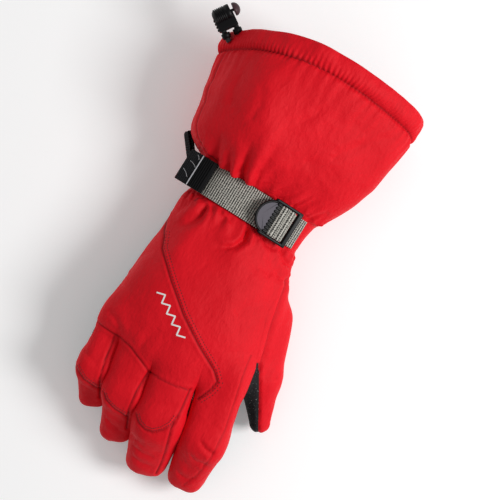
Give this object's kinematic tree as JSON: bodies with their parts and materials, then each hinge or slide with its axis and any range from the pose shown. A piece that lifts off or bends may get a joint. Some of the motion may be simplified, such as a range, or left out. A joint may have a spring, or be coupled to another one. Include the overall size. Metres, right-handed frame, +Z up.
{
  "type": "ski glove",
  "caption": "Insulated gauntlet ski glove for a right hand, lying palm down, with wrist strap and ladder lock, jointed fingers, grip palm and drawcord hem with a cord lock.",
  "frame": {"origin": "on the table under the middle of the glove", "axes": "+Z up from the palm to the back of the hand, +Y from the fingertips to the cuff, +X to the thumb side"},
  "size_m": [0.1699, 0.3298, 0.084],
  "materials": {
    "red_shell": "softshell weave",
    "grip_black": "synthetic grip",
    "liner_black": "brushed fleece",
    "padding_white": "fibre filling",
    "insert_film": "thin film",
    "elastic_black": "gathered elastic",
    "cord_black": "elastic cord",
    "grey_webbing": "twill webbing",
    "black_webbing": "folded webbing",
    "black_plastic": "moulded",
    "spring_steel": "wire",
    "label_white": "woven label"
  },
  "bodies": {
    "hand": {"back_panel": "red_shell", "outer_back_panel": "red_shell", "palm_panel": "grip_black", "hand_membrane": "insert_film", "hand_padding": "padding_white", "hand_liner": "liner_black", "cuff_back_panel": "red_shell", "cuff_palm_panel": "red_shell", "cuff_gusset": "red_shell", "cuff_padding": "padding_white", "cuff_liner": "liner_black", "wrist_elastic": "elastic_black", "cuff_hem": "red_shell", "hem_drawcord": "cord_black", "eyelet_outer": "black_plastic", "eyelet_inner": "black_plastic", "cord_loop": "cord_black", "wrist_strap": "grey_webbing", "strap_tail": "grey_webbing", "pull_tab": "black_webbing", "buckle_anchor": "grey_webbing", "hang_loop": "black_webbing", "care_label": "label_white"},
    "index_base": {"index_base_back": "red_shell", "index_base_palm": "grip_black", "index_base_liner": "liner_black"},
    "index_tip": {"index_tip_back": "red_shell", "index_tip_palm": "grip_black", "index_tip_liner": "liner_black"},
    "middle_base": {"middle_base_back": "red_shell", "middle_base_palm": "grip_black", "middle_base_liner": "liner_black"},
    "middle_tip": {"middle_tip_back": "red_shell", "middle_tip_palm": "grip_black", "middle_tip_liner": "liner_black"},
    "ring_base": {"ring_base_back": "red_shell", "ring_base_palm": "grip_black", "ring_base_liner": "liner_black"},
    "ring_tip": {"ring_tip_back": "red_shell", "ring_tip_palm": "grip_black", "ring_tip_liner": "liner_black"},
    "pinky_base": {"pinky_base_back": "red_shell", "pinky_base_palm": "grip_black", "pinky_base_liner": "liner_black"},
    "pinky_tip": {"pinky_tip_back": "red_shell", "pinky_tip_palm": "grip_black", "pinky_tip_liner": "liner_black"},
    "thumb_base": {"thumb_base_back": "red_shell", "thumb_base_palm": "grip_black", "thumb_base_liner": "liner_black"},
    "thumb_tip": {"thumb_tip_back": "red_shell", "thumb_tip_palm": "grip_black", "thumb_tip_liner": "liner_black"},
    "ladder_lock": {"ladder_lock": "black_plastic", "strap_turn_webbing": "grey_webbing"},
    "cord_lock": {"cord_lock_body": "black_plastic", "cord_lock_spring": "spring_steel"},
    "cord_lock_plunger": {"cord_lock_plunger": "black_plastic"}
  },
  "joints": [
    {"name": "index_knuckle", "type": "hinge", "parent": "hand", "child": "index_base", "pos_m": [0.03, -0.0795, 0.05], "axis": [1, 0, 0], "range_deg": [-18, 40], "stiffness_Nm_per_rad": 0.08},
    {"name": "index_bend", "type": "hinge", "parent": "index_base", "child": "index_tip", "pos_m": [0.03, -0.1218, 0.03787], "axis": [1, 0, 0], "range_deg": [-20, 40], "stiffness_Nm_per_rad": 0.06},
    {"name": "middle_knuckle", "type": "hinge", "parent": "hand", "child": "middle_base", "pos_m": [-0.0075, -0.0785, 0.054], "axis": [0.9976, 0.0698, 0], "range_deg": [-18, 40], "stiffness_Nm_per_rad": 0.08},
    {"name": "middle_bend", "type": "hinge", "parent": "middle_base", "child": "middle_tip", "pos_m": [-0.00448, -0.12162, 0.03827], "axis": [0.9976, 0.0698, 0], "range_deg": [-20, 40], "stiffness_Nm_per_rad": 0.06},
    {"name": "ring_knuckle", "type": "hinge", "parent": "hand", "child": "ring_base", "pos_m": [-0.0393, -0.0735, 0.0505], "axis": [0.9945, 0.1045, 0], "range_deg": [-18, 40], "stiffness_Nm_per_rad": 0.08},
    {"name": "ring_bend", "type": "hinge", "parent": "ring_base", "child": "ring_tip", "pos_m": [-0.03508, -0.11369, 0.03579], "axis": [0.9945, 0.1045, 0], "range_deg": [-20, 40], "stiffness_Nm_per_rad": 0.06},
    {"name": "pinky_knuckle", "type": "hinge", "parent": "hand", "child": "pinky_base", "pos_m": [-0.0643, -0.0725, 0.043], "axis": [0.9925, 0.1219, 0], "range_deg": [-18, 40], "stiffness_Nm_per_rad": 0.08},
    {"name": "pinky_bend", "type": "hinge", "parent": "pinky_base", "child": "pinky_tip", "pos_m": [-0.06041, -0.10421, 0.03137], "axis": [0.9925, 0.1219, 0], "range_deg": [-20, 40], "stiffness_Nm_per_rad": 0.06},
    {"name": "thumb_swing", "type": "hinge", "parent": "hand", "child": "thumb_base", "pos_m": [0.036, -0.0245, 0.02], "axis": [0, 0, 1], "range_deg": [-4, 30], "stiffness_Nm_per_rad": 0.05},
    {"name": "thumb_bend", "type": "hinge", "parent": "thumb_base", "child": "thumb_tip", "pos_m": [0.05031, -0.06382, 0.01634], "axis": [0, 0, -1], "range_deg": [-10, 35], "stiffness_Nm_per_rad": 0.04},
    {"name": "ladder_lock_lift", "type": "hinge", "parent": "hand", "child": "ladder_lock", "pos_m": [0.023, 0.0382, 0.0524], "axis": [0.1219, 0.9925, 0], "range_deg": [0, 32], "stiffness_Nm_per_rad": 0.01},
    {"name": "cord_lock_slide", "type": "slide", "parent": "hand", "child": "cord_lock", "axis": [0.766, -0.6428, 0], "range_m": [0, 0.001]},
    {"name": "cord_lock_press", "type": "slide", "parent": "cord_lock", "child": "cord_lock_plunger", "axis": [-0.6428, -0.766, 0], "range_m": [0, 0.002], "stiffness_N_per_m": 800, "deforming": ["cord_lock_spring"]}
  ]
}
